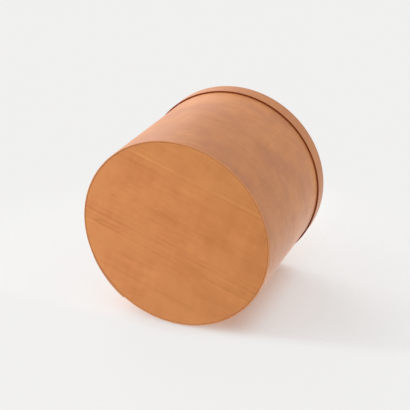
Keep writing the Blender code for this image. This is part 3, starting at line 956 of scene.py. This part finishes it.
# The lid's lower edge goes fully dark: its oiled end grain, with painted shade of the gap under it.
lid_side_material = strip_wood(
    "lid_side_cherry", (LID_SIDE_PALE, LID_SIDE_DEEP, LID_SIDE_TINT, SIDE_DARK),
    LID_SIDE_FROM, ((0, 1.0), (LID_RIM_HEIGHT, OILED_SHARE)), LID_RIPPLE,
)
finish_piece(lid_side, "lid_band", "lid", lid_side_material)

# The lid's board. Fitted to the inside of the lid's band, flush with its top edge, and bored
# for its pegs as the base is. It comes from the same plank as the base.
LID_TOP_GRAIN_TURN = math.radians(12)
LID_TOP_FROM = (2.3, 1.1, 0.2)
LID_TOP_STREAKS = (
    (0.0310, 0.0015, 0.45),
    (0.0340, 0.0012, -0.30),
    (0.0365, 0.0016, 0.40),
    (-0.0480, 0.0018, 0.35),
    (-0.0520, 0.0022, 0.25),
)


def lid_top_radius(angle):
    run = (LAP_START_ANGLE - angle) * SIDE_RADIUS - LID_START
    return lid_inner_radius(run % TURN) - BOARD_FIT


lid_top = turn_board(
    "lid_top", LID_FOOT + LID_RIM_HEIGHT - LID_TOP_THICKNESS, LID_TOP_THICKNESS, lid_top_radius
)
lid_peg_places = [(lid_angle(run), lid_top_radius(lid_angle(run))) for run in lid_peg_runs]
bore(lid_top, lid_peg_places, LID_FOOT + LID_PEG_HEIGHT)
lid_top_material = board_wood(
    "lid_top_cherry", (BASE_PALE, BASE_DEEP, BASE_TINT, BASE_DARK), LID_TOP_GRAIN_TURN,
    LID_TOP_FROM, LID_TOP_STREAKS,
)
finish_piece(lid_top, "lid_board", "lid", lid_top_material)

# The lid's tacks. Two, of the same kind as the side's, one above the other near the end of
# the band's lap.
LID_DENTS_FROM = 20  # seeds their dents, so that they differ from those of the side's tacks

for number, height in enumerate(LID_TACK_HEIGHTS, 1):
    tack = drive_tack(
        f"lid_copper_{number}", lid_angle(LID_TACK_RUN), lid_inner_radius(LID_TACK_RUN),
        lid_outer_radius(LID_TACK_RUN + TURN), LID_FOOT + height, LID_DENTS_FROM + number,
    )
    finish_piece(tack, f"lid_tack_{number}", "lid", copper)

# The lid's pegs. Twelve, of the same kind as the base's, driven through the band into the
# edge of the lid's board.
for number, (run, (angle, edge)) in enumerate(zip(lid_peg_runs, lid_peg_places), 1):
    outside = lid_outer_radius(run + TURN if run < LID_LAP_LENGTH else run)
    peg = drive_peg(f"top_peg_{number:02d}", angle, edge, outside, LID_FOOT + LID_PEG_HEIGHT)
    finish_piece(peg, f"lid_peg_{number:02d}", "lid", peg_wood)

# The studio. The box lies on a pale floor, against its side, before a wide window on the left
# and a pale wall behind. Seen upright it stands on a pale table. Floor and table only show
# to the camera, so that they keep the box's shadow and take none of its light.
FLOOR_TURN = math.radians(51.68)
FLOOR_UP = Vector((math.cos(FLOOR_TURN), math.sin(FLOOR_TURN), 0))
FLOOR_SIDEWAYS = Vector((math.sin(FLOOR_TURN), -math.cos(FLOOR_TURN), 0))
FLOOR_DROP = 0.1066
CAMERA_PLACE = (-0.01272, 0.61236, -0.84962)
CAMERA_RIGHT = Vector((-0.72401, 0.57220, 0.38523))
CAMERA_UP = Vector((0.68970, 0.60958, 0.39080))
CAMERA_LENS = 88.85
BACKGROUND = (1, 0.996, 0.988, 1)
BACKGROUND_LEVEL = 0.875
LIGHT_LEVEL = 0.74
FLOOR_REACH = 0.5
FLOOR_CLOTH = (0.968, 0.976, 0.98, 1)
TABLE_REACH = 0.9
TABLE_DROP = 0.0004
TABLE_CLOTH = (0.93, 0.926, 0.917, 1)
PANE_DROP = 0.6
FADE_FROM = 0.5  # a floor starts to fade at this share of its reach
FADE_TO = 0.95
# How much of its shadow each keeps. The floor keeps most beneath the box, and least before its
# base and on the side of the window.
TABLE_KEPT = 0.9
KEPT_BENEATH = 0.94
KEPT_AROUND = 0.5
KEPT_BEFORE = 0.2
KEPT_LIT = 0.4
BESIDE = (0.055, 0.10)  # where beneath passes into around, off the box's middle line
BEHIND = (-0.01, 0.03)  # and from its base towards its lid
BEFORE = (-0.024, 0.003)
BEFORE_SLANT = 0.22
LIT_SIDE = (0.08, 0.16)


def lay_disc(name, place, up, reach):
    """A flat disc for the stage, with an empty material."""
    bpy.ops.object.select_all(action="DESELECT")
    bpy.ops.mesh.primitive_circle_add(vertices=64, radius=reach, fill_type="NGON")
    disc = bpy.context.object
    disc.name = disc.data.name = name
    disc.data.transform(Vector(up).to_track_quat("Z", "Y").to_matrix().to_4x4())
    disc.location = place
    material, tree, shader = new_material(name)
    disc.data.materials.append(material)
    tree.nodes.remove(shader)
    return tree, tree.nodes["Material Output"].inputs["Surface"]


def shadow_kept(tree, here):
    """The share of its shadow that the photograph's floor keeps at each place."""
    sideways = work_out_place(tree, "DOT_PRODUCT", here, FLOOR_SIDEWAYS)
    up_box = add_node(tree, "ShaderNodeSeparateXYZ", {0: here}).outputs["Z"]
    beneath = grade(tree, work_out(tree, "ABSOLUTE", sideways), *BESIDE, 1, 0)
    beneath = work_out(tree, "MULTIPLY", beneath, grade(tree, up_box, *BEHIND, 0, 1))
    kept = work_out(tree, "MULTIPLY_ADD", beneath, KEPT_BENEATH - KEPT_AROUND, KEPT_AROUND)
    past = work_out(tree, "MINIMUM", sideways, 0)
    front = work_out(tree, "MULTIPLY_ADD", past, BEFORE_SLANT, up_box)
    kept = work_out(tree, "MULTIPLY", kept, grade(tree, front, *BEFORE, KEPT_BEFORE, 1))
    return work_out(tree, "MULTIPLY", kept, grade(tree, sideways, *LIT_SIDE, 1, KEPT_LIT))


def stage_floor(name, place, up, reach, cloth, only_from_below):
    """A pale floor that fades out, with part of its shadow washed away by its own level."""
    tree, surface = lay_disc(name, place, up, reach)
    here = add_node(tree, "ShaderNodeTexCoord").outputs["Object"]
    path = add_node(tree, "ShaderNodeLightPath").outputs
    facing = add_node(tree, "ShaderNodeNewGeometry").outputs["Backfacing"]
    shown = work_out(tree, "GREATER_THAN", path["Is Camera Ray"], facing)
    kept = TABLE_KEPT
    if only_from_below:
        through = work_out(tree, "GREATER_THAN", path["Transparent Depth"], 0.5)
        shown = work_out(tree, "MULTIPLY", shown, through)
        kept = shadow_kept(tree, here)
    far = work_out_place(tree, "LENGTH", here)
    fade = grade(tree, far, reach * FADE_FROM, reach * FADE_TO, 1, 0)
    shown = work_out(tree, "MULTIPLY", shown, fade)
    glow = add_node(
        tree, "ShaderNodeEmission", {"Color": BACKGROUND, "Strength": BACKGROUND_LEVEL}
    )
    felt = add_node(tree, "ShaderNodeBsdfDiffuse", {"Color": cloth})
    lit = add_node(tree, "ShaderNodeMixShader", {0: kept, 1: glow.outputs[0], 2: felt.outputs[0]})
    clear = add_node(tree, "ShaderNodeBsdfTransparent")
    mixed = add_node(tree, "ShaderNodeMixShader", {0: shown, 1: clear.outputs[0], 2: lit.outputs[0]})
    tree.links.new(mixed.outputs[0], surface)


stage_floor(
    "photo_floor", FLOOR_UP * -FLOOR_DROP, FLOOR_UP, FLOOR_REACH, FLOOR_CLOTH, only_from_below=True
)
stage_floor(
    "table", (0, 0, -TABLE_DROP), (0, 0, 1), TABLE_REACH, TABLE_CLOTH, only_from_below=False
)
# A clear pane lies well below the table. The photograph's floor shows only through it.
tree, surface = lay_disc("table_underside", (0, 0, -PANE_DROP), (0, 0, 1), TABLE_REACH)
tree.links.new(add_node(tree, "ShaderNodeBsdfTransparent").outputs[0], surface)

world = bpy.data.worlds.new("studio")
bpy.context.scene.world = world
world.use_nodes = True
tree = world.node_tree
path = add_node(tree, "ShaderNodeLightPath").outputs
seen = work_out(tree, "MAXIMUM", path["Is Camera Ray"], path["Is Glossy Ray"])
seen = work_out(tree, "MAXIMUM", seen, path["Is Transmission Ray"])
level = add_node(
    tree, "ShaderNodeMix", {0: seen, 2: LIGHT_LEVEL, 3: BACKGROUND_LEVEL}, data_type="FLOAT"
)
tree.nodes["Background"].inputs["Color"].default_value = BACKGROUND
tree.links.new(level.outputs[0], tree.nodes["Background"].inputs["Strength"])


def lamp(name, bearing, rise, distance, size, power):
    """A round lamp, its bearing turned from the picture's right towards the camera."""
    right = (CAMERA_RIGHT - FLOOR_UP * CAMERA_RIGHT.dot(FLOOR_UP)).normalized()
    towards = right.cross(FLOOR_UP)
    level = right * math.cos(math.radians(bearing)) + towards * math.sin(math.radians(bearing))
    way = level * math.cos(math.radians(rise)) + FLOOR_UP * math.sin(math.radians(rise))
    data = bpy.data.lights.new(name, "AREA")
    data.shape = "DISK"
    data.size = size
    data.energy = power
    light = bpy.data.objects.new(name, data)
    bpy.context.scene.collection.objects.link(light)
    light.location = Vector((0, 0, SIDE_HEIGHT / 2)) + way * distance
    light.rotation_euler = way.to_track_quat("Z", "Y").to_euler()


lamp("window", bearing=180, rise=10, distance=1.8, size=1.4, power=17)
lamp("back_wall", bearing=240, rise=35, distance=1.8, size=1.4, power=11.5)
lamp("far_wall", bearing=292, rise=-35, distance=2.0, size=1.6, power=3.5)

camera_data = bpy.data.cameras.new("camera")
camera_data.lens = CAMERA_LENS
camera = bpy.data.objects.new("camera", camera_data)
bpy.context.scene.collection.objects.link(camera)
camera_axes = Matrix((CAMERA_RIGHT, CAMERA_UP, CAMERA_RIGHT.cross(CAMERA_UP))).transposed()
camera.matrix_world = Matrix.Translation(CAMERA_PLACE) @ camera_axes.to_4x4()
bpy.context.scene.camera = camera

bpy.context.scene.view_settings.view_transform = "Standard"
